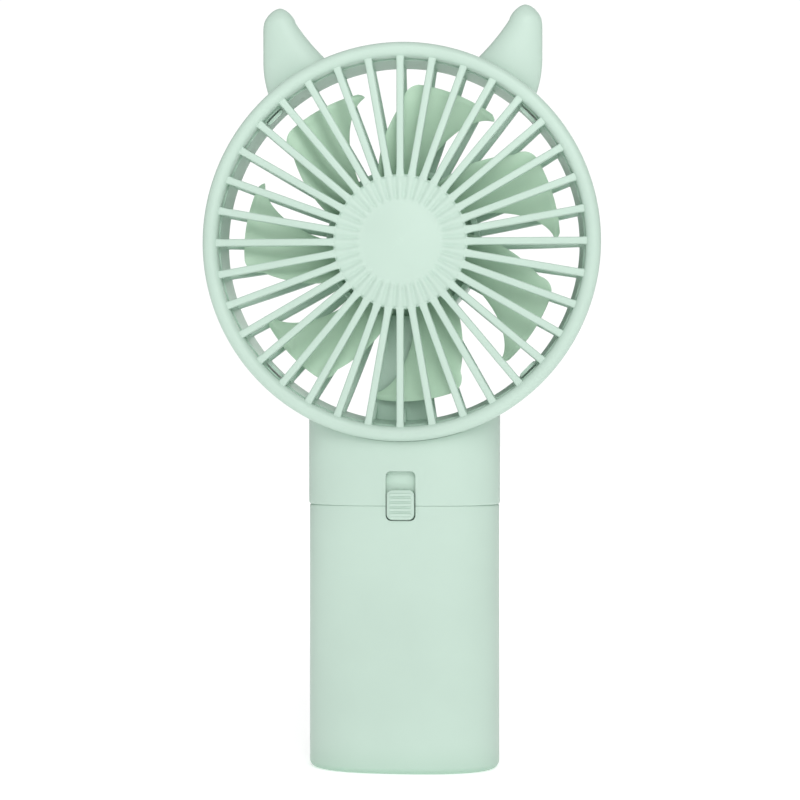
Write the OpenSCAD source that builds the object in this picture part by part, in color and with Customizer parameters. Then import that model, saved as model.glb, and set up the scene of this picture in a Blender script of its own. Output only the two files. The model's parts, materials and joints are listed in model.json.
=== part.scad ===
/* [Handle] */
// Width of the pull-off battery sleeve
sleeve_w = 45.6; // [44:0.1:48]
// Depth of the handle, front to back
handle_d = 25; // [24:0.5:28]
// Height of the sleeve, from its base to the seam
sleeve_h = 63; // [62.8:0.1:64]
// Wall thickness of the sleeve and the neck
wall = 1.6; // [1.4:0.1:1.8]

/* [Head] */
// Height of the fan's axis over the base
axis_z = 124.9; // [124:0.1:128]
// Outer radius of the front bead
bead_r = 46.7; // [46.5:0.1:47.5]
// Number of straight ribs in each grille
rib_count = 36; // [24:2:36]
// Width of one rib
rib_w = 1.75; // [1.4:0.05:2]
// Radius of the front grille's centre disc
disc_r = 15.8; // [15.5:0.1:17]

/* [Impeller] */
// Number of blades
blade_count = 7; // [5:1:7]
// Radius of the blade tips
tip_r = 37.4; // [36.6:0.2:37.8]

/* [Switch] */
// Height of the knob
knob_h = 7.1; // [6.9:0.1:7.2]

/* [Hidden] */
$fn = 96;

mint = [0.79, 0.89, 0.83];
steel = [0.72, 0.73, 0.75];
copper = [0.78, 0.47, 0.26];

// The front of the object faces -Y. Depths along Y are measured from the handle's middle.
seam_gap = 0.03;
seam_z = sleeve_h;
neck_z = seam_z + seam_gap;
sleeve_a = sleeve_w / 2;
neck_a = sleeve_a + 0.2;
half_d = handle_d / 2;
edge_round = 1.6;
// The two edges at the seam are bevelled
bevel = 0.4;
bevel_h = 0.6;

// Depth stack of the head
bead_front = -15;
bead_back = -10.8;
bead_in = bead_r - 3.5;
rib_front = -14.3;
rib_back = -12.3;
wall_back = -4.2;
dome_back = 1.6;
wall_r = bead_r - 0.9;
duct_front = -4.8;
duct_back = 0.4;
web_back = -3.4;
cup_r = 18.5;
cup_front = -4.6;
cup_back = 9.4;
motor_r = 12.2;
motor_front = -7;
motor_back = 4.6;
shaft_r = 1;
run_gap = 0.03;

// Cells: two of 14.5 x 50.5 side by side
cell_r = 7.2;
cell_x = 7.6;
cell_body = 49.4;
cell_nub = 1.1;
tray_floor = 5;
tray_roof = seam_z - 2.1;
plate_t = 0.4;
cell_z = tray_floor + plate_t;
spring_h = tray_roof - tray_floor - 2 * plate_t - cell_body - cell_nub;

// Knob and slot
slot_half = 3.5;
slot_top = 71.2;
slot_bottom = 59.6;
knob_half = 3.25;
knob_z = slot_bottom + 0.2;
stem_z = neck_z + 0.2;
stem_h = 3.2;
shutter_back = -10.1;
shutter_front = -10.7;

// ---- helpers ----

// Points of an oval with half axes a and b, a little fuller than an ellipse
function oval(a, b, count = 64, power = 2.5) = [for (i = [0 : count - 1])
    let (t = 360 * i / count, c = cos(t), s = sin(t))
    [a * sign(c) * pow(abs(c), 2 / power), b * sign(s) * pow(abs(s), 2 / power)]];

// Side quads of a stack of closed rings that hold count points each
function ring_sides(rings, count) = [for (k = [0 : rings - 2], i = [0 : count - 1])
    let (j = (i + 1) % count)
    [k * count + i, (k + 1) * count + i, (k + 1) * count + j, k * count + j]];

// Closed solid through a stack of rings, from the lowest ring to the highest
module loft(stack) {
    rings = len(stack);
    count = len(stack[0]);
    polyhedron(
        points = [for (ring = stack, p = ring) p],
        faces = concat(
            [[for (i = [0 : count - 1]) i]],
            ring_sides(rings, count),
            [[for (i = [count - 1 : -1 : 0]) (rings - 1) * count + i]]));
}

// Oval ring at height z
function oval_ring(a, b, z) = [for (p = oval(a, b)) [p[0], p[1], z]];

module oval_bar(a, b, z1, z2) {
    translate([0, 0, z1]) linear_extrude(z2 - z1) polygon(oval(a, b));
}

// Child drawn as [radius, depth] is turned about the fan's axis
module about_axis() {
    translate([0, 0, axis_z]) rotate([-90, 0, 0]) children();
}

module turned(profile) {
    about_axis() rotate_extrude() polygon(profile);
}

module disc(r, y1, y2) {
    about_axis() translate([0, 0, y1]) cylinder(r = r, h = y2 - y1);
}

module tube(r_out, r_in, y1, y2) {
    difference() {
        disc(r_out, y1, y2);
        disc(r_in, y1 - 1, y2 + 1);
    }
}

// Box from corner p to corner q
module block(p, q) {
    translate(p) cube(q - p);
}

// Child is repeated around the fan's axis
module ring_of(count, first = 0) {
    for (i = [0 : count - 1])
        translate([0, 0, axis_z]) rotate([0, -first - i * 360 / count, 0]) children();
}

function unit(v) = v / norm(v);

// Round tube along a route whose tangents are never parallel to ref
module lead(route, r = 0.6, sides = 8, ref = [1, 0, 0]) {
    last = len(route) - 1;
    loft([for (k = [0 : last])
        let (
            dir = unit(route[min(k + 1, last)] - route[max(k - 1, 0)]),
            side = unit(cross(dir, ref)),
            other = cross(dir, side))
        [for (i = [0 : sides - 1])
            route[k] + r * (cos(-360 * i / sides) * side + sin(-360 * i / sides) * other)]]);
}

// ---- head ----

// Bead with a full round front on two straight sides
module bead() {
    half = (bead_r - bead_in) / 2;
    about_axis() rotate_extrude() {
        translate([bead_in + half, bead_front + half]) circle(r = half);
        translate([bead_in, bead_front + half]) square([2 * half, bead_back - bead_front - half]);
    }
}

module front_grille() {
    lip_r = bead_in - 0.35;
    dome_r = 9.1;
    disc_front = rib_front - 0.1;
    color(mint) {
        bead();
        turned([[lip_r, -11.4], [bead_in + 1, -11.4], [bead_in + 1, bead_back], [lip_r, bead_back]]);
        ring_of(rib_count)
            translate([disc_r - 0.5, rib_front, -rib_w / 2])
            cube([bead_in + 0.4 - disc_r + 0.5, rib_back - rib_front, rib_w]);
        // disc with a smooth dome in the middle
        difference() {
            turned(concat([[0, rib_back + 0.1], [disc_r, rib_back + 0.1], [disc_r, disc_front]],
                [for (i = [0 : 6]) [dome_r * (1 - i / 6), disc_front - 0.8 * (1 - pow(1 - i / 6, 2))]]));
            // flutes between the ribs run over the rim of the disc
            ring_of(rib_count, 180 / rib_count)
                translate([dome_r + 0.5, disc_front - 0.5, -0.25]) cube([disc_r, 0.8, 0.5]);
        }
        // four snap lugs hook into the housing
        ring_of(4, 45)
            translate([lip_r - 1.25, bead_back - 0.5, -2.5]) {
                cube([0.8, 2.5, 5]);
                cube([1.75, 0.45, 5]);
            }
    }
}

// Depth of the rear grille's back surface at radius r
function dome_y(r) = dome_back + (wall_back - 0.2 - dome_back) * pow((r - cup_r) / (wall_r - 3.8 - cup_r), 2);

module rear_rib() {
    rib_deep = 2;
    steps = 8;
    r1 = cup_r - 0.8;
    r2 = wall_r - 2.6;
    radii = [for (i = [0 : steps]) r1 + (r2 - r1) * i / steps];
    translate([0, 0, -rib_w / 2]) linear_extrude(rib_w)
        polygon(concat(
            [for (r = radii) [r, dome_y(min(r, wall_r - 3.8))]],
            [for (i = [steps : -1 : 0]) [radii[i], dome_y(min(radii[i], wall_r - 3.8)) - rib_deep]]));
}

module horn_peg_at(angle, r, depth, len) {
    translate([0, -7.7, axis_z]) rotate([0, 90 - angle, 0]) translate([0, 0, depth]) cylinder(r = r, h = len);
}

module rear_housing() {
    socket_r = 14;
    wall_in = wall_r - 3.9;
    seat_y = motor_back + 0.5;
    floor_y = 8;
    channel = 3.2;
    color(mint * 0.93) difference() {
        union() {
            turned([[wall_r, bead_back + 0.05], [wall_r - 0.6, wall_back], [wall_in, wall_back],
                [wall_in + 1, bead_back + 0.05]]);
            ring_of(rib_count) rear_rib();
            difference() {
                turned([[0, cup_front + 4], [socket_r, cup_front + 4], [socket_r, floor_y],
                    [cup_r - wall, floor_y], [cup_r - wall, cup_front], [cup_r, cup_front],
                    [cup_r, cup_back - 2.2], [cup_r - 0.7, cup_back - 0.7], [cup_r - 2.2, cup_back],
                    [0, cup_back]]);
                disc(motor_r + 0.05, -9, seat_y);
                disc(10.5, -9, floor_y);
            }
            // collar around the back of the hub
            turned([[13.9, -2.9], [cup_r - 1, -2.9], [cup_r - 1, -1.9], [13.9, -1.9]]);
            // wire channel from the neck to the cup, with a web across two bays
            translate([0, web_back, axis_z]) rotate([90, 0, 0]) linear_extrude(web_back - duct_front)
                polygon([for (p = [[-1, wall_r - 1], [1, wall_r - 1], [1, cup_r - 0.8], [-1, cup_r - 0.8]])
                    p[1] * [p[0] * sin(360 / rib_count), -cos(360 / rib_count)]]);
            block([-channel, duct_front, axis_z - wall_r + 1], [channel, duct_back, axis_z - cup_r + 0.8]);
        }
        block([-2.2, -3.9, axis_z - wall_r - 1], [2.2, -0.5, axis_z - cup_r + wall + 1]);
        block([-3, 0.8, axis_z - socket_r - 0.4], [3, floor_y, axis_z - 9]);
        for (side = [0, 1]) for (angle = [51, 63])
            horn_peg_at(side == 0 ? angle : 180 - angle, 1.25, wall_r - 1.9, 4);
    }
}

// Edges of the right horn at height h over the fan's axis
horn_top = 52.6;
horn_tip = 56.2;
function horn_inner(h) = 17.9 + 1.025 * (h - 43.7) - 0.0215 * pow(h - 43.7, 2);
function horn_outer(h) = 33.15 - 0.02 * pow(max(43.5 - h, 0), 2) - 0.075 * pow(max(h - 51, 0), 2);

// Oval horn section; the last ones close in a round tip
function horn_shrink(h) = h <= horn_top ? 1 :
    pow(1 - min(0.995, pow((h - horn_top) / (horn_tip - horn_top), 1.4)), 0.6);
function horn_ring(h, count = 28) =
    let (
        base = min(h, horn_top),
        shrink = horn_shrink(h),
        mid = (horn_inner(base) + horn_outer(base)) / 2,
        half = shrink * (horn_outer(base) - horn_inner(base)) / 2,
        thick = shrink * (2.95 - 0.05 * max(base - 45, 0)))
    [for (i = [0 : count - 1])
        [mid + half * cos(360 * i / count), -7.7 + thick * sin(360 * i / count), axis_z + h]];

module horn() {
    cap = horn_tip - horn_top;
    heights = concat([for (h = [33 : 2.8 : horn_top]) h], [for (t = [0 : 15 : 90]) horn_top + cap * sin(t)]);
    difference() {
        loft([for (h = heights) horn_ring(h)]);
        disc(wall_r + 0.08, -20, 5);
    }
    for (angle = [51, 63]) horn_peg_at(angle, 1.2, wall_r - 1.7, 4);
}

module right_horn() {
    color(mint) horn();
}

module left_horn() {
    color(mint) mirror([1, 0, 0]) horn();
}

// ---- impeller ----

hub_front = -11.7;
hub_r = 14.5;

// Angle of a blade's clockwise edge at radius r: a swept edge that ends in a hooked corner
corner_r = 36;
function blade_cw(r) = r < corner_r ? 1.5 + 18.5 * pow((corner_r - r) / 15, 0.62)
    : 1.5 + 2.5 * pow((r - corner_r) / (tip_r - corner_r), 2);

// Angle of the anticlockwise edge: straight, then a round shoulder up to the tip
shoulder_r = 33.5;
function blade_ccw(r) = r < shoulder_r ? 37.5 + (shoulder_r - r) * 1.2
    : 37.5 - 6.5 * (1 - sqrt(1 - min(1, pow((r - shoulder_r) / (tip_r - shoulder_r), 2))));

// A blade runs from deep at its clockwise edge to the front at its other edge
module blade() {
    t = 0.5;
    radii = [13.6, 17, 20, 23, 26, 29, 32, shoulder_r, 35, corner_r, 36.9, tip_r];
    chord = 6;
    function mid_y(s) = -5.9 - 4.9 * pow(s, 1.15);
    function at(r, s, off) = let (a = blade_cw(r) + s * (blade_ccw(r) - blade_cw(r)))
        [r * cos(a), mid_y(s) + off, r * sin(a)];
    loft([for (r = radii) concat(
        [for (i = [0 : chord]) at(r, i / chord, t)],
        [for (i = [chord : -1 : 0]) at(r, i / chord, -t)])]);
}

module impeller() {
    color([0.68, 0.82, 0.71]) {
        difference() {
            turned([[0, hub_front], [hub_r, hub_front], [hub_r, -3.6], [13, -3.6], [13, -9.9], [3, -9.9], [3, -9.1],
                [0, -9.1]]);
            disc(shaft_r + 0.01, -10.9, -9);
        }
        ring_of(blade_count) blade();
    }
}

// ---- motor ----

module motor_can() {
    color(steel) difference() {
        union() {
            disc(motor_r, motor_front, motor_back);
            disc(3, motor_front - 1.5, motor_front + 1);
        }
        disc(motor_r - 0.8, motor_front + 0.8, motor_back + 1);
        disc(2.6, motor_front - 1, motor_front + 2);
        disc(1.4, motor_front - 2, motor_front);
    }
}

module front_bush() {
    color("peru") tube(2.55, shaft_r + run_gap, motor_front - 0.95, motor_front + 0.9);
}

module rear_bush() {
    color("peru") tube(2.55, shaft_r + run_gap, 4.3, 5.9);
}

module motor_magnets() {
    color([0.25, 0.25, 0.27]) difference() {
        tube(motor_r - 0.85, 8.9, -5.6, 2.4);
        for (side = [-1, 1])
            block([-3, -6, axis_z + side * 10 - 4], [3, 3, axis_z + side * 10 + 4]);
    }
}

core_front = -4.6;
core_back = 0.9;

module core_outline() {
    difference() {
        union() {
            circle(r = 3.4);
            for (i = [0 : 2]) rotate(i * 120 + 90) translate([0, -1.2]) square([7.6, 2.4]);
            intersection() {
                difference() {
                    circle(r = 8.4);
                    circle(r = 7);
                }
                for (i = [0 : 2]) rotate(i * 120 + 90) polygon([[0, 0], [11, -7.8], [11, 7.8]]);
            }
        }
        circle(r = shaft_r + 0.01);
    }
}

module motor_armature() {
    color([0.55, 0.56, 0.58])
        translate([0, core_back, axis_z]) rotate([90, 0, 0]) linear_extrude(core_back - core_front) core_outline();
}

module motor_windings() {
    color(copper) for (i = [0 : 2])
        translate([0, 0, axis_z]) rotate([0, -(i * 120 + 90), 0]) difference() {
            block([3.9, core_front - 0.8, -2.1], [6.6, core_back + 0.6, 2.1]);
            block([3, core_front - 0.05, -1.25], [7, core_back + 0.05, 1.25]);
        }
}

module commutator() {
    color(copper) difference() {
        tube(2.2, shaft_r + 0.01, 1.6, 3.4);
        ring_of(3) translate([1.5, 1.2, -0.12]) cube([1, 3, 0.24]);
    }
}

module motor_shaft() {
    color(steel) disc(shaft_r, -10.85, 5.7);
}

module motor_end_cap() {
    color("white") difference() {
        union() {
            disc(motor_r - 0.85, 3.7, 4.6);
            disc(3.4, 3.7, 6.1);
        }
        disc(2.6, 4.25, 7);
        disc(1.4, 3, 5);
        for (side = [-1, 1])
            block([side * 6 - 1, 3, axis_z - 4.4], [side * 6 + 1, 6, axis_z - 3.4]);
    }
}

// Sprung strips that rub on the commutator
module motor_brushes() {
    color(copper) for (side = [-1, 1])
        block([side * 2.5 - 0.15, 1.9, axis_z - 4.2], [side * 2.5 + 0.15, 3.65, axis_z + 3]);
}

module motor_terminals() {
    color("gold") for (side = [-1, 1])
        block([side * 6 - 0.9, 3.1, axis_z - 4.15], [side * 6 + 0.9, 7.2, axis_z - 3.65]);
}

// ---- neck ----

// Side outline of the neck: straight, then its back rolls forward to the head
module neck_profile(inset) {
    roll = 15;
    rotate([90, 0, 90]) translate([0, 0, -40]) linear_extrude(80) {
        translate([-20, 50]) square([20 + half_d - roll, 37 - inset]);
        translate([-20, 50]) square([20 + half_d - inset, 72 - 50]);
        translate([half_d - roll, 72]) circle(r = roll - inset);
    }
}

module neck_outside() {
    intersection() {
        loft([oval_ring(neck_a - bevel, half_d - bevel, neck_z), oval_ring(neck_a, half_d, neck_z + bevel_h),
            oval_ring(neck_a, half_d, 92)]);
        neck_profile(0);
    }
}

module neck_hollow() {
    difference() {
        intersection() {
            oval_bar(neck_a - wall, half_d - wall, neck_z - 1, 90);
            neck_profile(wall);
        }
        disc(wall_r + 0.1 + wall, -20, 20);
    }
}

module neck_whole() {
    difference() {
        neck_outside();
        neck_hollow();
        disc(wall_r + 0.1, -20, 20);
        // behind the bead the neck stops at the ring
        disc(bead_r + 0.1, -20, bead_back + 0.05);
        // way for the wires into the channel
        block([-2.2, -3.9, 70], [2.2, -0.5, 86]);
        block([-slot_half, -half_d - 1, neck_z - 1], [slot_half, -half_d + 3, slot_top]);
    }
}

screw_x = 15;
screw_z = 73;
post_y = 9;

module screw_axis(y) {
    for (side = [-1, 1]) translate([side * screw_x, y, screw_z]) rotate([-90, 0, 0]) children();
}

module neck_front_shell() {
    color(mint) {
        intersection() {
            neck_whole();
            block([-40, -40, 50], [40, -0.03, 100]);
        }
        // screw posts
        difference() {
            screw_axis(-post_y) cylinder(r = 2.2, h = post_y - 0.03);
            screw_axis(-8) cylinder(r = 0.9, h = 9);
        }
    }
}

module neck_rear_shell() {
    color(mint) difference() {
        union() {
            intersection() {
                neck_whole();
                block([-40, 0.03, 50], [40, 40, 100]);
            }
            screw_axis(0.03) cylinder(r = 2.8, h = half_d - 3.4);
        }
        screw_axis(-1) cylinder(r = 1.15, h = 30);
        screw_axis(5) cylinder(r = 2.3, h = 30);
    }
}

module neck_screws() {
    color(steel) difference() {
        union() {
            screw_axis(-6.8) cylinder(r = 0.85, h = 12);
            screw_axis(5.02) cylinder(r = 2.05, h = 1.4);
        }
        screw_axis(6.4) cube([2.4, 0.5, 1.2], center = true);
        screw_axis(6.4) cube([0.5, 2.4, 1.2], center = true);
    }
}

// ---- battery tray ----

tray_a = sleeve_a - wall - 0.3;
tray_b = half_d - wall - 0.3;
front_plate_y = -9.9;

module battery_tray() {
    side_x = cell_x + cell_r + 0.4;
    plate_back = front_plate_y + 0.9;
    color([0.86, 0.9, 0.88]) difference() {
        intersection() {
            union() {
                block([-30, -20, tray_floor - wall], [30, 20, tray_floor]);
                block([-30, -20, tray_roof], [30, 20, tray_roof + 1.7]);
                block([-side_x, cell_r + 0.3, tray_floor - 1], [side_x, cell_r + 1.9, tray_roof + 1]);
                for (side = [-1, 1])
                    translate([side * (side_x + 0.6), 0, 0])
                        block([-0.8, -4, tray_floor - 1], [0.8, cell_r + 1.9, tray_roof + 1]);
                // front plate that carries the electric switch, and its apron behind the sleeve's notch
                block([-8, front_plate_y, tray_roof + 1], [8, plate_back, 73]);
                block([-5, -20, slot_bottom - 2.5], [5, plate_back, tray_roof + 1]);
                // ears that the neck clips on to
                for (side = [-1, 1])
                    block([side * 17.5 - 1, -3, tray_roof + 1], [side * 17.5 + 1, 3, 69]);
            }
            oval_bar(tray_a, tray_b, 0, 90);
        }
        block([-2.1, -20, neck_z + 0.1], [2.1, plate_back + 1, slot_top + 0.2]);
        for (side = [-1, 1])
            block([side * cell_x - 1, -1, tray_roof - 1], [side * cell_x + 1, 1, tray_roof + 3]);
    }
}

// A cell with its nub up; the other one stands on its nub
module cell() {
    cylinder(r = cell_r, h = cell_body);
    translate([0, 0, cell_body - 0.5]) cylinder(r = 2.75, h = cell_nub + 0.5);
}

module battery_left() {
    color("darkslategray") translate([-cell_x, 0, cell_z + spring_h]) cell();
}

module battery_right() {
    color("darkslategray")
        translate([cell_x, 0, cell_z + cell_body + cell_nub]) rotate([180, 0, 0]) cell();
}

// Points along a contact spring's helix, pressed between z and z + h
function helix(x, z, h, turns = 3, steps = 12) = [for (i = [0 : turns * steps])
    let (a = 360 * i / steps, r = 4.2 - 1.4 * i / (turns * steps))
    [x + r * cos(a), r * sin(a), z + 0.3 + (h - 0.6) * i / (turns * steps)]];

// Spring steel wire wound along a helix
module coil(route) {
    lead(route, r = 0.25, sides = 6, ref = [0, 0, 1]);
}

module contact_springs() {
    color(steel) {
        coil(helix(-cell_x, cell_z, spring_h));
        coil(helix(cell_x, cell_z + cell_body + cell_nub, spring_h));
    }
}

module contact_plates() {
    color(steel) for (side = [-1, 1]) {
        block([side * cell_x - 5, -5, tray_roof - plate_t], [side * cell_x + 5, 5, tray_roof]);
        block([side * cell_x - 0.8, -0.2, tray_roof - 0.1], [side * cell_x + 0.8, 0.2, tray_roof + 4]);
    }
}

module bridge_plate() {
    color(steel) block([-cell_x - 5, -5, tray_floor], [cell_x + 5, 5, tray_floor + plate_t]);
}

// ---- switch ----

lever_z = stem_z + 0.7;
lever_h = 1.8;

module slide_switch_case() {
    color([0.2, 0.2, 0.22]) difference() {
        block([-3, front_plate_y + 0.95, tray_roof + 1.75], [3, -4.8, slot_top + 0.4]);
        block([-1, -12, lever_z - 0.1], [1, -7, slot_top - 0.7]);
    }
}

module slide_switch_lever() {
    color([0.2, 0.2, 0.22]) block([-0.9, -11, lever_z], [0.9, -7.1, lever_z + lever_h]);
}

module slide_switch_pins() {
    color("gold") for (z = [64.2, 67.2, 70.2])
        block([-0.4, -4.8, z - 0.2], [0.4, -2.6, z + 0.2]);
}

module switch_knob() {
    face = -half_d - 1.2;
    pad_back = shutter_front - 0.3;
    grips = 4;
    color(mint) {
        difference() {
            block([-knob_half, face, knob_z], [knob_half, pad_back, knob_z + knob_h]);
            for (i = [0 : grips])
                block([-2.8, face - 1, knob_z + 1.05 + i * 1.12], [2.8, face + 0.3, knob_z + 1.5 + i * 1.12]);
        }
        difference() {
            block([-1.9, pad_back - 1, stem_z], [1.9, -9.4, stem_z + stem_h]);
            block([-1, -11.1, lever_z - 0.1], [1, -9, lever_z + lever_h + 0.1]);
        }
    }
}

// Thin plate behind the slot that slides with the knob and hides the works
module switch_shutter() {
    color(mint) difference() {
        block([-5, shutter_front, neck_z + 0.1], [5, shutter_back, slot_top + 0.8]);
        block([-1.95, -12, stem_z - 0.05], [1.95, -9, stem_z + stem_h + 0.05]);
    }
}

// ---- inner leads: motor to switch, motor to cell, switch to cell ----

red_route = [[-5.6, 7.3, 120.2], [-4.1, 7.2, 118], [-2.2, 6.8, 115], [-1.2, 6, 112], [-1.1, 4, 109.8],
    [-1.1, 1, 109.2], [-1.1, -1.4, 108.6], [-1.1, -2.2, 106], [-1.1, -2.2, 98], [-1.1, -2.2, 90],
    [-1.1, -2.2, 82], [-1.1, -2.1, 76], [-1, -1.7, 73], [-0.5, -1.6, 71.4], [0, -1.9, 70.2]];
black_route = [[5.6, 7.3, 120.2], [4.1, 7.2, 118], [2.2, 6.8, 115], [1.2, 6, 112], [1.1, 4, 109.8],
    [1.1, 1, 109.2], [1.1, -1.4, 108.6], [1.1, -2.2, 106], [1.1, -2.2, 98], [1.1, -2.2, 90],
    [1.1, -2.2, 82], [1.2, -1.8, 76], [3, 0.6, 72], [6, 0.8, 68], [cell_x, 0.9, 64.8]];
link_route = [[0, -1.9, 67.2], [-1.2, -1.3, 67.6], [-2.6, -0.6, 67.8], [-4.2, 0, 67.4], [-5.8, 0.5, 66.4],
    [-cell_x, 0.9, 64.8]];

module wire_red() {
    color("firebrick") lead(red_route);
}

module wire_black() {
    color([0.1, 0.1, 0.1]) lead(black_route);
}

module wire_link() {
    color("firebrick") lead(link_route, ref = [0, 0, 1]);
}

// ---- sleeve ----

module battery_sleeve() {
    color(mint) difference() {
        loft(concat(
            [for (t = [0 : 22.5 : 90])
                let (cut = edge_round * (1 - sin(t)))
                oval_ring(sleeve_a - cut, half_d - cut, edge_round * (1 - cos(t)))],
            [oval_ring(sleeve_a, half_d, seam_z - bevel_h), oval_ring(sleeve_a - bevel, half_d - bevel, seam_z)]));
        oval_bar(sleeve_a - wall, half_d - wall, 1.8, seam_z + 1);
        block([-slot_half, -half_d - 1, slot_bottom], [slot_half, -half_d + 3, seam_z + 1]);
    }
}

front_grille();
rear_housing();
left_horn();
right_horn();
impeller();
motor_can();
motor_magnets();
motor_armature();
motor_windings();
commutator();
motor_shaft();
front_bush();
rear_bush();
motor_end_cap();
motor_brushes();
motor_terminals();
neck_front_shell();
neck_rear_shell();
neck_screws();
battery_tray();
battery_left();
battery_right();
contact_springs();
contact_plates();
bridge_plate();
slide_switch_case();
slide_switch_lever();
slide_switch_pins();
switch_knob();
switch_shutter();
wire_red();
wire_black();
wire_link();
battery_sleeve();
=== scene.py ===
import json
import math

import bmesh
import bpy
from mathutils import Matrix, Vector


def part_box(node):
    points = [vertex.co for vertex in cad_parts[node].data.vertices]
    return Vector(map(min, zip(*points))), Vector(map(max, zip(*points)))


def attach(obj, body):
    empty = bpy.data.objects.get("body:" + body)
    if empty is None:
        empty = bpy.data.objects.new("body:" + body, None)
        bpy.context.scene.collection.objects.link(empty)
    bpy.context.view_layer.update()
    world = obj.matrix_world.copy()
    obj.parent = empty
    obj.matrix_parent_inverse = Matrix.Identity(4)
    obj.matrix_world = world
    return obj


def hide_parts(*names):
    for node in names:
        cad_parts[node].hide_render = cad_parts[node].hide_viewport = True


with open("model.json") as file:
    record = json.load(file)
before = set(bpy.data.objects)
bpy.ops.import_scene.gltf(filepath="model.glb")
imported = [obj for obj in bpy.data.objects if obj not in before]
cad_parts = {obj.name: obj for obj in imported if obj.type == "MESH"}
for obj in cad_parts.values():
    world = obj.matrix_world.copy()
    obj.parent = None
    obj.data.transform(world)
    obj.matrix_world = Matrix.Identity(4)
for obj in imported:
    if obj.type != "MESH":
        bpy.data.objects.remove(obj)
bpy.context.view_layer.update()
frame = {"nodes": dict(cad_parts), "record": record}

MM = 0.001
TAU = 2 * math.pi
TINY = 0.02 * MM  # stands for zero where a ring would shrink to a point
FIT = 0.1 * MM  # gap of a part round what it sits on
FAR = 0.05  # reach of a cutter that has to pass clear of the part

# ---- sizes taken from the frame, in metres ----

spin = next(j for j in frame["record"]["behaviour"]["joints"] if j["name"] == "impeller_spin")
AXIS = Vector(spin["pos_m"])
GRILLE_LO, GRILLE_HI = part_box("front_grille")
HOUSE_LO, HOUSE_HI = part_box("rear_housing")
SLEEVE_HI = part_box("battery_sleeve")[1]
NECK_LO, NECK_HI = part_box("neck_front_shell")
KNOB_LO, KNOB_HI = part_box("switch_knob")

RIBS = 36
RIB_HALF = 0.875 * MM
BEAD_R = (GRILLE_HI.x - GRILLE_LO.x) / 2
BEAD_FRONT = GRILLE_LO.y
BEAD_IN = BEAD_R - 3.5 * MM
BEAD_BACK = -10.8 * MM
RIB_FRONT = -14.3 * MM
RIB_BACK = -12.3 * MM
DISC_R = 15.8 * MM
DOME_R = 9.1 * MM
WALL_R = (HOUSE_HI.x - HOUSE_LO.x) / 2
WALL_IN = WALL_R - 3.9 * MM
WALL_BACK = -4.2 * MM
DOME_BACK = 1.6 * MM
CUP_R = 18.5 * MM
CUP_BACK = HOUSE_HI.y
HANDLE_POWER = 2.5


# ---- mesh helpers ----

def new_object(name, verts, faces, smooth_angle=35):
    """A mesh object whose edges stay sharp above smooth_angle degrees."""
    mesh = bpy.data.meshes.new(name)
    mesh.from_pydata([tuple(v) for v in verts], [], faces)
    bm = bmesh.new()
    bm.from_mesh(mesh)
    bmesh.ops.recalc_face_normals(bm, faces=bm.faces)
    finish_mesh(bm, mesh, smooth_angle)
    obj = bpy.data.objects.new(name, mesh)
    bpy.context.scene.collection.objects.link(obj)
    return obj


def finish_mesh(bm, mesh, smooth_angle):
    """Writes bm to the mesh, smooth but for edges above smooth_angle degrees."""
    limit = math.radians(smooth_angle)
    for face in bm.faces:
        face.smooth = True
    for edge in bm.edges:
        edge.smooth = len(edge.link_faces) == 2 and edge.calc_face_angle(0) < limit
    bm.to_mesh(mesh)
    bm.free()


class Shape:
    """Collects closed shells for one mesh."""

    def __init__(self):
        self.verts = []
        self.faces = []

    def rings(self, stack, caps=True, closed=False):
        """Shell through a stack of closed rings; closed joins the last ring to the first."""
        base = len(self.verts)
        count = len(stack[0])
        for ring in stack:
            self.verts.extend(ring)
        pairs = len(stack) if closed else len(stack) - 1
        for k in range(pairs):
            low = base + k * count
            high = base + ((k + 1) % len(stack)) * count
            for i in range(count):
                j = (i + 1) % count
                self.faces.append((low + i, low + j, high + j, high + i))
        if caps and not closed:
            self.faces.append(tuple(base + i for i in reversed(range(count))))
            self.faces.append(tuple(base + (len(stack) - 1) * count + i for i in range(count)))

    def turned(self, profile, steps=288, wobble=None):
        """Closed profile of (radius, depth) turned about the fan's axis."""
        stack = []
        for k in range(steps):
            angle = TAU * k / steps
            depth_of = (lambda r, y, angle: y) if wobble is None else wobble
            stack.append([around(r, depth_of(r, y, angle), angle) for r, y in profile])
        self.rings(stack, closed=True)

    def object(self, name, smooth_angle=35):
        return new_object(name, self.verts, self.faces, smooth_angle)


def around(r, y, angle):
    """Point at radius r and depth y, at an angle seen from the front."""
    return Vector((AXIS.x + r * math.cos(angle), y, AXIS.z + r * math.sin(angle)))


def arc(cx, cy, r, start, end, steps):
    """Points on an arc, angles in degrees."""
    return [(cx + r * math.cos(math.radians(start + (end - start) * i / steps)),
             cy + r * math.sin(math.radians(start + (end - start) * i / steps))) for i in range(steps + 1)]


def smoothstep(x):
    """Eased step from 0 to 1."""
    x = min(max(x, 0), 1)
    return x * x * (3 - 2 * x)


def oval(a, b, z, count=192, power=HANDLE_POWER):
    """Ring of the handle's section at height z, with half width a and half depth b."""
    ring = []
    for i in range(count):
        t = TAU * (i + 0.5) / count
        c, s = math.cos(t), math.sin(t)
        ring.append(Vector((a * math.copysign(abs(c) ** (2 / power), c),
                            b * math.copysign(abs(s) ** (2 / power), s), z)))
    return ring


def rounded_bar(section_at, stations, count=12):
    """Rings of a bar with rounded edges.

    section_at gives (centre, across, deep, half_w, half_d) at a station.
    """
    square = 0.45
    stack = []
    for s in stations:
        centre, across, shade_amount, half_w, half_d = section_at(s)
        ring = []
        for i in range(count * 2):
            t = TAU * (i + 0.5) / (count * 2)
            c, d = math.cos(t), math.sin(t)
            ring.append(centre + across * half_w * math.copysign(abs(c) ** square, c)
                        + shade_amount * half_d * math.copysign(abs(d) ** square, d))
        stack.append(ring)
    return stack


# ---- head ----

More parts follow.
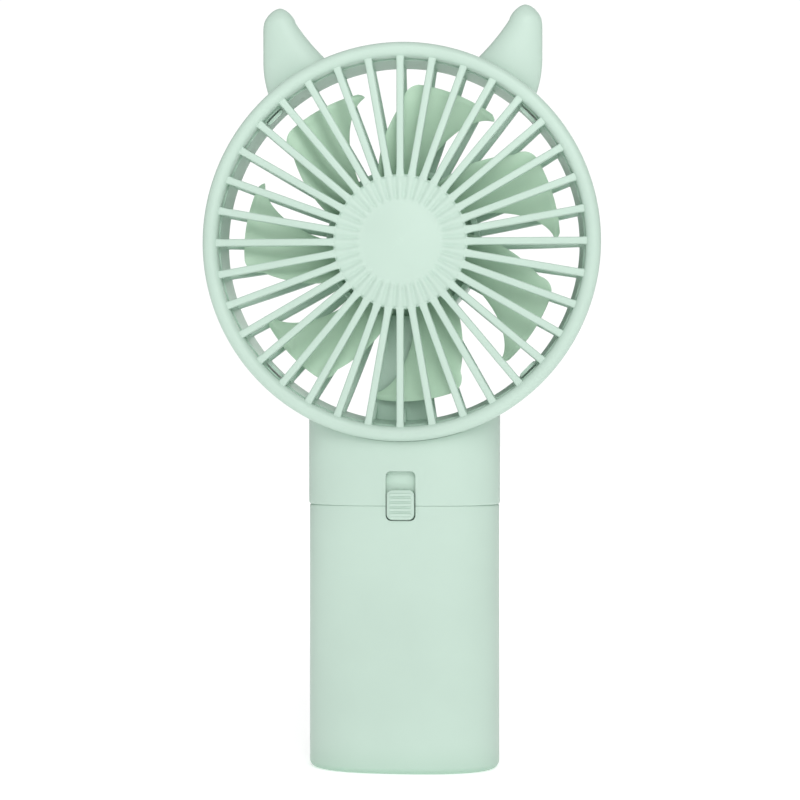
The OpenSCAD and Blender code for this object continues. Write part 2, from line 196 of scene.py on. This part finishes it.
def grille_ribs(shape, r1, r2, depth_at, half_depth):
    """Straight radial ribs whose ends flare into what they join."""
    flare = 1.3 * MM
    steps = 12
    radii = [r1 + (r2 - r1) * (1 - math.cos(math.pi * i / steps)) / 2 for i in range(steps + 1)]
    for k in range(RIBS):
        angle = TAU * k / RIBS
        out = Vector((math.cos(angle), 0, math.sin(angle)))
        across = Vector((-math.sin(angle), 0, math.cos(angle)))

        def section(r):
            near = min(r - r1, r2 - r) / flare
            extra = 0.55 * MM * (1 - math.sqrt(max(0, 1 - (1 - min(near, 1)) ** 2)))
            centre = Vector((AXIS.x, depth_at(r), AXIS.z)) + out * r
            return centre, across, Vector((0, 1, 0)), RIB_HALF + extra, half_depth

        shape.rings(rounded_bar(section, radii))


def disc_front(r, y, angle):
    """Flutes on the front of the disc, aligned with the ribs."""
    if y > RIB_FRONT + 0.9 * MM or r < DOME_R:
        return y
    rise = smoothstep((r - DOME_R - 0.25 * MM) / (1.4 * MM))
    groove = 0.5 - 0.5 * math.cos(RIBS * angle)
    return y + 0.45 * MM * rise * groove ** 1.4


def build_front_grille():
    shape = Shape()
    half = (BEAD_R - BEAD_IN) / 2
    mid = BEAD_IN + half
    bead = arc(mid, BEAD_FRONT + half, half, 0, -180, 28)
    bead += [(BEAD_IN, BEAD_BACK - 0.1 * MM), (BEAD_IN + 0.1 * MM, BEAD_BACK),
             (BEAD_R - 0.4 * MM, BEAD_BACK), (BEAD_R, BEAD_BACK - 0.4 * MM)]
    shape.turned(bead)
    lip_in, lip_out, lip_front = BEAD_IN - 0.35 * MM, BEAD_IN + 1 * MM, -11.4 * MM
    lip = [(lip_in, lip_front), (lip_out, lip_front), (lip_out, BEAD_BACK), (lip_in, BEAD_BACK)]
    shape.turned(lip)
    grille_ribs(shape, DISC_R - 0.5 * MM, BEAD_IN + 0.7 * MM, lambda r: (RIB_FRONT + RIB_BACK) / 2,
                (RIB_BACK - RIB_FRONT) / 2)
    # disc: dome, fluted ring, rounded rim, plain back
    front = RIB_FRONT - 0.1 * MM
    dome = [(max(DOME_R * i / 14, TINY), front - 0.8 * MM * (1 - (i / 14) ** 2) ** 1.15) for i in range(15)]
    flutes = [(DOME_R + (DISC_R - 0.5 * MM - DOME_R) * i / 16, front) for i in range(1, 17)]
    rim = arc(DISC_R - 0.5 * MM, front + 0.5 * MM, 0.5 * MM, -75, 0, 5)
    back = [(DISC_R, RIB_BACK), (DISC_R - 0.3 * MM, RIB_BACK + 0.1 * MM), (TINY, RIB_BACK + 0.1 * MM)]
    shape.turned(dome + flutes + rim + back, steps=RIBS * 12, wobble=disc_front)
    for k in range(4):
        lug(shape, TAU * (k + 0.5) / 4)
    return shape.object("grille_moulding", 40)


def lug(shape, angle):
    """Snap lug behind the bead."""
    out = Vector((math.cos(angle), 0, math.sin(angle)))
    across = Vector((-math.sin(angle), 0, math.cos(angle)))

    def section(y):
        thick = 0.39 * MM if y < -9.4 * MM else 0.25 * MM
        return Vector((AXIS.x, y, AXIS.z)) + out * (BEAD_IN - 1.2 * MM), across, out, 2.4 * MM, thick

    shape.rings(rounded_bar(section, [v * MM for v in (-11.4, -10, -9.4, -9.3, -8.85)], 6))


def dome_y(r):
    """Back surface of the rear grille."""
    inner = WALL_R - 3.8 * MM
    return DOME_BACK + (WALL_BACK - 0.2 * MM - DOME_BACK) * ((min(r, inner) - CUP_R) / (inner - CUP_R)) ** 2


def build_rear_housing():
    shape = Shape()
    front = BEAD_BACK + 0.05 * MM
    round_r = 0.6 * MM
    wall = [(WALL_IN + 1 * MM, front), (WALL_R, front)]
    wall += [(WALL_R - 0.5 * MM, WALL_BACK - 0.9 * MM)]
    wall += arc(WALL_R - 1.15 * MM, WALL_BACK - 0.7 * MM, 0.7 * MM, 0, 90, 6)
    wall += arc(WALL_IN + round_r, WALL_BACK - round_r, round_r, 90, 180, 5)
    shape.turned(wall)
    grille_ribs(shape, CUP_R - 0.8 * MM, WALL_R - 2.6 * MM, lambda r: dome_y(r) - 1 * MM, 1 * MM)
    back_r = 2.2 * MM
    cup_front = -4.6 * MM
    cup = [(TINY, 8 * MM), (16.9 * MM, 8 * MM), (16.9 * MM, cup_front + 0.2 * MM), (17.1 * MM, cup_front),
           (CUP_R - 0.3 * MM, cup_front), (CUP_R, cup_front + 0.3 * MM)]
    cup += arc(CUP_R - back_r, CUP_BACK - back_r, back_r, 0, 90, 10)
    cup += [(15.2 * MM, CUP_BACK), (15 * MM, CUP_BACK - 0.35 * MM), (14.6 * MM, CUP_BACK - 0.35 * MM),
            (14.4 * MM, CUP_BACK), (TINY, CUP_BACK)]
    shape.turned(cup)
    collar = [(13.9 * MM, -2.9 * MM), (17.2 * MM, -2.9 * MM), (17.2 * MM, -1.9 * MM), (13.9 * MM, -1.9 * MM)]
    shape.turned(collar, steps=144)
    socket = [(12.3 * MM, -0.6 * MM), (14 * MM, -0.6 * MM), (14 * MM, 8.2 * MM), (10.5 * MM, 8.2 * MM),
              (10.5 * MM, 5.1 * MM), (12.3 * MM, 5.1 * MM)]
    shape.turned(socket, steps=144)
    channel(shape)
    return shape.object("housing_moulding", 40)


def channel(shape):
    """Closed wire channel at six o'clock."""
    top = AXIS.z - CUP_R + 0.8 * MM
    bottom = AXIS.z - WALL_R + 0.12 * MM
    half_w = 3.2 * MM
    front, back = -4.8 * MM, 0.4 * MM

    def section(z):
        return (Vector((0, (front + back) / 2, z)), Vector((1, 0, 0)), Vector((0, 1, 0)), half_w,
                (back - front) / 2)

    shape.rings(rounded_bar(section, [bottom + (top - bottom) * i / 8 for i in range(9)]))
    # web across the two bays beside the middle rib
    spread = TAU / RIBS

    def web(r):
        reach = r * math.sin(spread) + 0.3 * MM
        return (Vector((0, -4.1 * MM, AXIS.z - r * math.cos(spread))), Vector((1, 0, 0)), Vector((0, 1, 0)),
                reach, 0.65 * MM)

    inner, outer = CUP_R - 0.6 * MM, WALL_R - 1.2 * MM
    shape.rings(rounded_bar(web, [inner + (outer - inner) * i / 8 for i in range(9)]))


HORN_TOP = 52.6
HORN_TIP = 56.2


def horn_edges(h):
    """Inner and outer edge of the right horn at height h over the fan's axis, in millimetres."""
    inner = 17.9 + 1.025 * (h - 43.7) - 0.0215 * (h - 43.7) ** 2
    outer = 33.15 - 0.02 * max(43.5 - h, 0) ** 2 - 0.075 * max(h - 51, 0) ** 2
    return inner, outer


def build_horn(name, side):
    stack = []
    heights = [33 + (HORN_TOP - 33) * i / 26 for i in range(27)]
    heights += [HORN_TOP + (HORN_TIP - HORN_TOP) * math.sin(math.radians(t)) for t in range(8, 89, 8)]
    for h in heights:
        base = min(h, HORN_TOP)
        rise = max(0, (h - HORN_TOP) / (HORN_TIP - HORN_TOP))
        shrink = (1 - min(0.999, rise ** 1.4)) ** 0.6
        inner, outer = horn_edges(base)
        mid, half = (inner + outer) / 2, shrink * (outer - inner) / 2
        thick = shrink * (2.95 - 0.05 * max(base - 45, 0))
        ring = []
        for i in range(48):
            t = TAU * i / 48
            ring.append(Vector((side * (mid + half * math.cos(t)) * MM, (-7.7 + thick * math.sin(t)) * MM,
                                AXIS.z + h * MM)))
        stack.append(ring)
    shape = Shape()
    shape.rings(stack)
    horn = shape.object(name, 60)
    seat = 0.06 * MM
    cut(horn, cylinder_about_axis(WALL_R + seat), "DIFFERENCE")
    return horn


# ---- boolean cutters ----

def cylinder_about_axis(r, front=-0.03, back=0.03):
    shape = Shape()
    steps = 256
    shape.rings([[around(r, y, TAU * i / steps) for i in range(steps)] for y in (front, back)])
    return shape.object("cutter")


def cylinder_along_y(x, z, r, front, back):
    shape = Shape()
    steps = 48
    shape.rings([[Vector((x + r * math.cos(TAU * i / steps), y, z + r * math.sin(TAU * i / steps)))
                  for i in range(steps)] for y in (front, back)])
    return shape.object("cutter")


def box_cutter(lo, hi, radius=0.0, steps=6):
    """Box along Y whose corners, seen from the front, are rounded."""
    shape = Shape()
    outline = []
    for cx, cz, start in ((hi[0], hi[2], 0), (lo[0], hi[2], 90), (lo[0], lo[2], 180), (hi[0], lo[2], 270)):
        sx = -1 if cx == hi[0] else 1
        sz = -1 if cz == hi[2] else 1
        if radius:
            outline += arc(cx + sx * radius, cz + sz * radius, radius, start, start + 90, steps)
        else:
            outline.append((cx, cz))
    shape.rings([[Vector((x, y, z)) for x, z in outline] for y in (lo[1], hi[1])])
    return shape.object("cutter")


def cut(obj, cutter, operation, smooth_angle=35):
    """Applies one boolean and removes the cutter."""
    mod = obj.modifiers.new("cut", "BOOLEAN")
    mod.operation = operation
    mod.solver = "EXACT"
    mod.object = cutter
    bpy.context.view_layer.update()
    depsgraph = bpy.context.evaluated_depsgraph_get()
    result = bpy.data.meshes.new_from_object(obj.evaluated_get(depsgraph))
    obj.modifiers.clear()
    obj.data = result
    bm = bmesh.new()
    bm.from_mesh(result)
    bmesh.ops.remove_doubles(bm, verts=bm.verts, dist=1e-6)
    bmesh.ops.dissolve_degenerate(bm, edges=bm.edges, dist=1e-6)
    finish_mesh(bm, result, smooth_angle)
    bpy.data.objects.remove(cutter)


# ---- impeller ----

# millimetres: the tip, the hooked corner and the round shoulder
TIP_R, CORNER_R, SHOULDER_R = 37.4, 36, 33.5
ROOT_R = 13.6
BLADES = 7


def blade_outline(r):
    """Clockwise and anticlockwise edge angles of a blade at radius r, in degrees and millimetres."""
    if r < CORNER_R:
        cw = 1.5 + 18.5 * ((CORNER_R - r) / 15) ** 0.62
    else:
        cw = 1.5 + 2.5 * ((r - CORNER_R) / (TIP_R - CORNER_R)) ** 2
    if r < SHOULDER_R:
        ccw = 37.5 + (SHOULDER_R - r) * 1.2
    else:
        ccw = 37.5 - 6.5 * (1 - math.sqrt(1 - min(1, ((r - SHOULDER_R) / (TIP_R - SHOULDER_R)) ** 2)))
    return cw, ccw


def build_impeller():
    shape = Shape()
    steps, chord = 40, 24
    for k in range(BLADES):
        turn = 360 * k / BLADES
        stack = []
        for n in range(steps + 1):
            r = ROOT_R + (TIP_R - 0.05 - ROOT_R) * math.sin(math.pi / 2 * n / steps)
            cw, ccw = blade_outline(r)
            front, back = [], []
            for i in range(chord + 1):
                s = (1 - math.cos(math.pi * i / chord)) / 2
                thick = 0.5 * max(0.02, 1 - (2 * s - 1) ** 4) ** 0.5 * (1 if n < steps else 0.5)
                y = -5.9 - 4.9 * s ** 1.15
                angle = math.radians(turn + cw + s * (ccw - cw))
                front.append(around(r * MM, (y - thick) * MM, angle))
                back.append(around(r * MM, (y + thick) * MM, angle))
            stack.append(front + back[::-1])
        shape.rings(stack)
    hub_front, hub_r, hub_back = -11.7, 14.5, -3.6
    centre = TINY / MM
    hub = [(centre, hub_front), (12.9, hub_front)]
    hub += arc(hub_r - 1.2, hub_front + 1.2, 1.2, -80, 0, 6)
    hub += [(hub_r, hub_back - 0.2), (hub_r - 0.2, hub_back), (13.2, hub_back), (13, hub_back - 0.2),
            (13, -9.9), (3, -9.9), (3, -9.1), (1.05, -9.1), (1.05, -10.8), (centre, -10.8)]
    shape.turned([(r * MM, y * MM) for r, y in hub], steps=144)
    return shape.object("impeller_moulding", 40)


# ---- handle ----

SLOT_HALF = 3.5 * MM
SLOT_TOP = 71.2 * MM
SLOT_BOTTOM = 59.6 * MM
SLOT_ROUND = 1.2 * MM
WALL = 1.6 * MM
BEVEL = 0.4 * MM
BEVEL_H = 0.6 * MM
SCREW_X = 15 * MM
SCREW_Z = 73 * MM
NECK_TOP = 86.8 * MM
HALF_GAP = 0.03 * MM  # each neck half stops this far from the middle plane


def build_sleeve():
    a, b = SLEEVE_HI.x, SLEEVE_HI.y
    top = SLEEVE_HI.z
    round_r = 1.6 * MM
    outer = []
    for t in range(0, 91, 9):
        back = round_r * (1 - math.sin(math.radians(t)))
        outer.append(oval(a - back, b - back, round_r * (1 - math.cos(math.radians(t)))))
    outer += [oval(a, b, top * f) for f in (0.25, 0.5, 0.75)]
    for t in range(0, 91, 15):
        back = BEVEL * (1 - math.cos(math.radians(t)))
        outer.append(oval(a - back, b - 0.4 * back, top - BEVEL_H * (1 - math.sin(math.radians(t)))))
    inner = [oval(a - WALL + 0.2 * MM, b - WALL + 0.2 * MM, top), oval(a - WALL, b - WALL, top - 0.2 * MM),
             oval(a - WALL, b - WALL, 2.6 * MM), oval(a - WALL - 0.8 * MM, b - WALL - 0.8 * MM, 1.8 * MM)]
    shape = Shape()
    shape.rings(outer + inner)
    sleeve = shape.object("sleeve_moulding")
    notch = box_cutter((-SLOT_HALF, -0.02, SLOT_BOTTOM), (SLOT_HALF, -b + 3 * MM, 0.08), SLOT_ROUND)
    cut(sleeve, notch, "DIFFERENCE")
    return sleeve


def neck_roll(z):
    """Depth of the neck's back at height z."""
    roll = 15 * MM
    flat = 72 * MM
    back = SLEEVE_HI.y
    if z <= flat:
        return back
    return back - roll + math.sqrt(max(0, roll ** 2 - (z - flat) ** 2))


def neck_solid(a, b, inset, low, high):
    """Oval column whose back rolls forward near its top."""
    stack = []
    steps = 40
    for i in range(steps + 1):
        z = low + (high - low) * i / steps
        limit = neck_roll(z + inset) - inset
        stack.append([Vector((p.x, min(p.y, limit), p.z)) for p in oval(a, b, z)])
    return stack


def build_neck(name, front):
    a, b = NECK_HI.x, -NECK_LO.y
    low, high = NECK_LO.z, NECK_TOP
    stack = neck_solid(a, b, 0, low + BEVEL_H, high)
    edge = []
    for t in range(0, 76, 15):
        back = BEVEL * (1 - math.sin(math.radians(t)))
        edge.append(oval(a - back, b - 0.4 * back, low + BEVEL_H * (1 - math.cos(math.radians(t)))))
    shape = Shape()
    shape.rings(edge + stack)
    neck = shape.object(name)
    hollow = Shape()
    hollow.rings(neck_solid(a - WALL, b - WALL, WALL, low - 5 * MM, high - WALL))
    room = hollow.object("cutter_room")
    cut(room, cylinder_about_axis(WALL_R + FIT + WALL), "DIFFERENCE")
    cut(neck, room, "DIFFERENCE")
    cut(neck, cylinder_about_axis(WALL_R + FIT), "DIFFERENCE")
    cut(neck, cylinder_about_axis(BEAD_R + FIT, back=BEAD_BACK + 0.05 * MM), "DIFFERENCE")
    cut(neck, box_cutter((-2.2 * MM, -3.9 * MM, 0.07), (2.2 * MM, -0.5 * MM, 0.086)), "DIFFERENCE")
    if front:
        cut(neck, box_cutter((-SLOT_HALF, -0.02, 0.05), (SLOT_HALF, -b + 3 * MM, SLOT_TOP), SLOT_ROUND),
            "DIFFERENCE")
        half = box_cutter((-FAR, -FAR, 0.04), (FAR, -HALF_GAP, 0.1))
    else:
        half = box_cutter((-FAR, HALF_GAP, 0.04), (FAR, FAR, 0.1))
    cut(neck, half, "INTERSECT")
    if not front:
        # posts and bores of the two screws
        for x in (-SCREW_X, SCREW_X):
            cut(neck, cylinder_along_y(x, SCREW_Z, 2.8 * MM, HALF_GAP, b - 2.8 * MM), "UNION")
            cut(neck, cylinder_along_y(x, SCREW_Z, 1.15 * MM, -1 * MM, 0.03), "DIFFERENCE")
            cut(neck, cylinder_along_y(x, SCREW_Z, 2.3 * MM, 5 * MM, 0.03), "DIFFERENCE")
    return neck


def build_knob():
    """Slide knob: a rounded pad with five grip ribs, and the stem behind it."""
    shape = Shape()
    half_w = (KNOB_HI.x - KNOB_LO.x) / 2
    low, high = KNOB_LO.z, KNOB_HI.z
    face, foot = KNOB_LO.y, -11 * MM
    mid_z, half_h = (low + high) / 2, (high - low) / 2
    corner = 1.4 * MM

    def outline(inset):
        w, h, r = half_w - inset, half_h - inset, max(corner - inset, 0.3 * MM)
        points = []
        for sx, sz, start in ((1, 1, 0), (-1, 1, 90), (-1, -1, 180), (1, -1, 270)):
            points += arc(sx * (w - r), mid_z + sz * (h - r), r, start, start + 90, 6)
        return points

    edge = 0.5 * MM
    stack = [[Vector((x, foot, z)) for x, z in outline(0)]]
    for t in range(0, 91, 15):
        inset = edge * (1 - math.cos(math.radians(t)))
        y = face + 0.3 * MM + edge * (1 - math.sin(math.radians(t)))
        stack.append([Vector((x, y, z)) for x, z in outline(inset)])
    shape.rings(stack)
    grips = 5
    for i in range(grips):
        z = low + 1.2 * MM + i * (half_h * 2 - 2.4 * MM) / (grips - 1)

        def section(x, z=z):
            centre = Vector((x, face + 0.45 * MM, z))
            return centre, Vector((0, 0, 1)), Vector((0, 1, 0)), 0.36 * MM, 0.44 * MM

        reach = half_w - 0.75 * MM
        shape.rings(rounded_bar(section, [-reach + 2 * reach * n / 6 for n in range(7)], 6))
    stem_lo, stem_hi = 63.23 * MM, 66.43 * MM

    def stem(y):
        return (Vector((0, y, (stem_lo + stem_hi) / 2)), Vector((1, 0, 0)), Vector((0, 0, 1)), 1.9 * MM,
                (stem_hi - stem_lo) / 2)

    shape.rings(rounded_bar(stem, [-12 * MM, -11.5 * MM, -11.05 * MM], 6))
    return shape.object("knob_moulding", 40)


# ---- materials ----

def plastic(name, colour, rough=0.42, grain=0.05, vary=0.03, coat=0.0, recess_shade=0.38):
    """Moulded plastic: fine grain, faint flow variation, convex edges a shade paler as painted highlight,
    and recesses darkened as painted shade.
    """
    mat = bpy.data.materials.new(name)
    mat.use_nodes = True
    nodes, links = mat.node_tree.nodes, mat.node_tree.links
    shader = nodes["Principled BSDF"]
    coord = nodes.new("ShaderNodeTexCoord")
    flow = nodes.new("ShaderNodeTexNoise")
    flow.inputs["Scale"].default_value = 38
    flow.inputs["Detail"].default_value = 4
    links.new(coord.outputs["Object"], flow.inputs["Vector"])
    ramp = nodes.new("ShaderNodeValToRGB")
    ramp.color_ramp.elements[0].position = 0.3
    ramp.color_ramp.elements[1].position = 0.7
    ramp.color_ramp.elements[0].color = (*[c * (1 - vary) for c in colour], 1)
    ramp.color_ramp.elements[1].color = (*[min(c * (1 + vary), 1) for c in colour], 1)
    links.new(flow.outputs["Fac"], ramp.inputs["Fac"])
    # painted highlight: convex edges a shade paler, found from pointiness
    geo = nodes.new("ShaderNodeNewGeometry")
    edge_highlight = nodes.new("ShaderNodeMapRange")
    edge_highlight.inputs["From Min"].default_value = 0.53
    edge_highlight.inputs["From Max"].default_value = 0.62
    edge_highlight.inputs["To Max"].default_value = 0.25
    links.new(geo.outputs["Pointiness"], edge_highlight.inputs["Value"])
    mix = nodes.new("ShaderNodeMix")
    mix.data_type = "RGBA"
    mix.inputs["B"].default_value = (*[min(c * 1.08 + 0.02, 1) for c in colour], 1)
    links.new(edge_highlight.outputs["Result"], mix.inputs["Factor"])
    links.new(ramp.outputs["Color"], mix.inputs["A"])
    # painted shade: recesses darkened towards a deeper green, found from ambient occlusion
    occlusion = nodes.new("ShaderNodeAmbientOcclusion")
    occlusion.samples = 8
    occlusion.inputs["Distance"].default_value = 0.015
    shade_amount = nodes.new("ShaderNodeMapRange")
    shade_amount.inputs["From Min"].default_value = 0.2
    shade_amount.inputs["From Max"].default_value = 0.75
    shade_amount.inputs["To Min"].default_value = recess_shade
    shade_amount.inputs["To Max"].default_value = 0
    links.new(occlusion.outputs["AO"], shade_amount.inputs["Value"])
    shade = nodes.new("ShaderNodeMix")
    shade.data_type = "RGBA"
    shade.inputs["B"].default_value = (colour[0] * 0.36, colour[1] * 0.62, colour[2] * 0.46, 1)
    links.new(shade_amount.outputs["Result"], shade.inputs["Factor"])
    links.new(mix.outputs["Result"], shade.inputs["A"])
    links.new(shade.outputs["Result"], shader.inputs["Base Color"])
    # grain in the gloss and in the surface
    speck = nodes.new("ShaderNodeTexNoise")
    speck.inputs["Scale"].default_value = 2600
    speck.inputs["Detail"].default_value = 3
    links.new(coord.outputs["Object"], speck.inputs["Vector"])
    gloss = nodes.new("ShaderNodeMapRange")
    gloss.inputs["To Min"].default_value = rough - 0.05
    gloss.inputs["To Max"].default_value = rough + 0.07
    links.new(speck.outputs["Fac"], gloss.inputs["Value"])
    links.new(gloss.outputs["Result"], shader.inputs["Roughness"])
    bump = nodes.new("ShaderNodeBump")
    bump.inputs["Strength"].default_value = grain
    bump.inputs["Distance"].default_value = 0.0001
    links.new(speck.outputs["Fac"], bump.inputs["Height"])
    links.new(bump.outputs["Normal"], shader.inputs["Normal"])
    shader.inputs["IOR"].default_value = 1.42
    shader.inputs["Coat Weight"].default_value = coat
    return mat


def metal(name, colour, rough=0.3):
    """Plain metal with slight differences of shade and gloss."""
    mat = bpy.data.materials.new(name)
    mat.use_nodes = True
    nodes, links = mat.node_tree.nodes, mat.node_tree.links
    shader = nodes["Principled BSDF"]
    shader.inputs["Metallic"].default_value = 1
    coord = nodes.new("ShaderNodeTexCoord")
    noise = nodes.new("ShaderNodeTexNoise")
    noise.inputs["Scale"].default_value = 900
    noise.inputs["Detail"].default_value = 5
    links.new(coord.outputs["Object"], noise.inputs["Vector"])
    ramp = nodes.new("ShaderNodeValToRGB")
    ramp.color_ramp.elements[0].color = (*[c * 0.86 for c in colour], 1)
    ramp.color_ramp.elements[1].color = (*colour, 1)
    links.new(noise.outputs["Fac"], ramp.inputs["Fac"])
    links.new(ramp.outputs["Color"], shader.inputs["Base Color"])
    gloss = nodes.new("ShaderNodeMapRange")
    gloss.inputs["To Min"].default_value = rough - 0.08
    gloss.inputs["To Max"].default_value = rough + 0.12
    links.new(noise.outputs["Fac"], gloss.inputs["Value"])
    links.new(gloss.outputs["Result"], shader.inputs["Roughness"])
    bump = nodes.new("ShaderNodeBump")
    bump.inputs["Strength"].default_value = 0.08
    bump.inputs["Distance"].default_value = 0.0001
    links.new(noise.outputs["Fac"], bump.inputs["Height"])
    links.new(bump.outputs["Normal"], shader.inputs["Normal"])
    return mat


# recess_shade sets how strongly painted shade darkens each plastic's recesses
SHELL = plastic("mint_shell", (0.475, 0.61, 0.53))
BLADE = plastic("green_blade", (0.47, 0.65, 0.50), rough=0.38, recess_shade=0.1)
# painted light: the switch shutter gets a paler copy of the shell plastic, without recess shade, to cancel
# the shade it sits in behind the slot
LIGHTENED_SHUTTER = plastic("mint_shutter_lightened", (0.53, 0.68, 0.59), recess_shade=0)
MATERIALS = {
    "shell_plastic": SHELL,
    "blade_plastic": BLADE,
    "inner_plastic": plastic("inner_plastic_look", (0.62, 0.76, 0.69), rough=0.5),
    "motor_steel": metal("motor_steel_look", (0.55, 0.56, 0.58), 0.35),
    "bright_steel": metal("bright_steel_look", (0.75, 0.76, 0.78), 0.22),
    "magnet": plastic("ferrite_look", (0.05, 0.05, 0.055), rough=0.7, grain=0.25),
    "copper": metal("copper_look", (0.85, 0.42, 0.24), 0.3),
    "brass": metal("brass_look", (0.82, 0.64, 0.3), 0.28),
    "bronze": metal("bronze_look", (0.5, 0.36, 0.2), 0.5),
    "cell_sleeve": plastic("cell_film_look", (0.05, 0.12, 0.12), rough=0.2, coat=0.5),
    "switch_plastic": plastic("switch_plastic_look", (0.03, 0.03, 0.035), rough=0.45),
    "red_insulation": plastic("red_insulation_look", (0.6, 0.04, 0.03), rough=0.4),
    "black_insulation": plastic("black_insulation_look", (0.02, 0.02, 0.02), rough=0.4),
}


def dress(obj, mat):
    obj.data.materials.clear()
    obj.data.materials.append(mat)


# ---- assembly ----

REPLACED = [
    (build_front_grille(), "front_grille", "upper"),
    (build_rear_housing(), "rear_housing", "upper"),
    (build_horn("left_horn_moulding", -1), "left_horn", "upper"),
    (build_horn("right_horn_moulding", 1), "right_horn", "upper"),
    (build_impeller(), "impeller", "rotor"),
    (build_neck("neck_front_moulding", True), "neck_front_shell", "upper"),
    (build_neck("neck_rear_moulding", False), "neck_rear_shell", "upper"),
    (build_knob(), "switch_knob", "knob"),
    (build_sleeve(), "battery_sleeve", "sleeve"),
]
SLOT_OF = {row["node"]: row["material_slot"] for row in frame["record"]["subparts"]}
for piece, node, body in REPLACED:
    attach(piece, body)
    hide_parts(node)
    dress(piece, MATERIALS[SLOT_OF[node]])

stand_ins = {node for _, node, _ in REPLACED}
for node, obj in frame["nodes"].items():
    if node in stand_ins:
        continue
    for slot in obj.material_slots:
        # the switch shutter takes the paler copy of the shell plastic, painted light in the slot
        slot.material = LIGHTENED_SHUTTER if node == "switch_shutter" else MATERIALS[SLOT_OF[node]]


# ---- studio ----

def build_floor():
    """White floor that glows a little more with distance and has a faint sheen."""
    shape = Shape()
    size = 3.0
    shape.rings([[Vector((x, y, z)) for x, y in ((-size, -size), (size, -size), (size, size), (-size, size))]
                 for z in (-0.01, -0.0001)])
    floor = shape.object("studio_floor")
    mat = bpy.data.materials.new("pale_floor")
    mat.use_nodes = True
    nodes, links = mat.node_tree.nodes, mat.node_tree.links
    matt = nodes.new("ShaderNodeBsdfDiffuse")
    matt.inputs["Color"].default_value = (0.97, 0.97, 0.97, 1)
    glow = nodes.new("ShaderNodeEmission")
    coord = nodes.new("ShaderNodeTexCoord")
    far = nodes.new("ShaderNodeVectorMath")
    far.operation = "LENGTH"
    links.new(coord.outputs["Object"], far.inputs[0])
    lift = nodes.new("ShaderNodeMapRange")
    lift.inputs["From Max"].default_value = 1.2
    lift.inputs["To Min"].default_value = 0.52
    lift.inputs["To Max"].default_value = 0.8
    links.new(far.outputs["Value"], lift.inputs["Value"])
    links.new(lift.outputs["Result"], glow.inputs["Strength"])
    lit = nodes.new("ShaderNodeAddShader")
    links.new(matt.outputs[0], lit.inputs[0])
    links.new(glow.outputs[0], lit.inputs[1])
    sheen = nodes.new("ShaderNodeBsdfGlossy")
    sheen.inputs["Roughness"].default_value = 0.1
    mix = nodes.new("ShaderNodeMixShader")
    mix.inputs[0].default_value = 0.14
    links.new(lit.outputs[0], mix.inputs[1])
    links.new(sheen.outputs[0], mix.inputs[2])
    links.new(mix.outputs[0], nodes["Material Output"].inputs["Surface"])
    floor.data.materials.append(mat)


def area_light(name, place, target, size, power):
    light = bpy.data.lights.new(name, "AREA")
    light.shape = "RECTANGLE"
    light.size = size
    light.size_y = size
    light.energy = power
    obj = bpy.data.objects.new(name, light)
    obj.location = place
    obj.rotation_euler = (Vector(target) - Vector(place)).to_track_quat("-Z", "Y").to_euler()
    bpy.context.scene.collection.objects.link(obj)


def build_studio():
    """Soft light from the front and above, with a white backdrop for the camera."""
    world = bpy.data.worlds.new("studio")
    bpy.context.scene.world = world
    world.use_nodes = True
    nodes, links = world.node_tree.nodes, world.node_tree.links
    soft = nodes["Background"]
    coord = nodes.new("ShaderNodeTexCoord")
    facing = nodes.new("ShaderNodeVectorMath")
    facing.operation = "DOT_PRODUCT"
    facing.inputs[1].default_value = Vector((-0.12, -0.72, 0.68)).normalized()
    strength = nodes.new("ShaderNodeMapRange")
    strength.inputs["From Min"].default_value = -0.3
    strength.inputs["From Max"].default_value = 0.9
    strength.inputs["To Min"].default_value = 0.14
    strength.inputs["To Max"].default_value = 0.72
    links.new(coord.outputs["Generated"], facing.inputs[0])
    links.new(facing.outputs["Value"], strength.inputs["Value"])
    links.new(strength.outputs["Result"], soft.inputs["Strength"])
    soft.inputs["Color"].default_value = (1, 1, 1, 1)
    backdrop = nodes.new("ShaderNodeBackground")
    backdrop.inputs["Color"].default_value = (1, 1, 1, 1)
    backdrop.inputs["Strength"].default_value = 1.05
    path = nodes.new("ShaderNodeLightPath")
    mix = nodes.new("ShaderNodeMixShader")
    links.new(path.outputs["Is Camera Ray"], mix.inputs[0])
    links.new(soft.outputs[0], mix.inputs[1])
    links.new(backdrop.outputs[0], mix.inputs[2])
    links.new(mix.outputs[0], nodes["World Output"].inputs["Surface"])
    middle = (0, 0, 0.15)
    area_light("key", (0.06, -0.5, 0.45), middle, 0.3, 0.95)
    area_light("fill", (0.2, -0.55, 0.28), middle, 0.3, 0.62)
    area_light("back_soft", (0.3, 0.8, 0.5), middle, 0.5, 1.8)
    bpy.context.scene.view_settings.view_transform = "Standard"


def build_camera():
    """Level camera a little to the object's right."""
    distance = 0.44
    frame_width = 0.1929
    azimuth = math.radians(4.5)
    middle = Vector((-0.0011, 0, 0.0879))
    cam = bpy.data.cameras.new("camera")
    cam.sensor_width = 36
    cam.lens = cam.sensor_width * distance / frame_width
    obj = bpy.data.objects.new("camera", cam)
    obj.location = middle + Vector((math.sin(azimuth), -math.cos(azimuth), 0)) * distance
    obj.rotation_euler = (middle - obj.location).to_track_quat("-Z", "Y").to_euler()
    bpy.context.scene.collection.objects.link(obj)
    bpy.context.scene.camera = obj


build_floor()
build_studio()
build_camera()
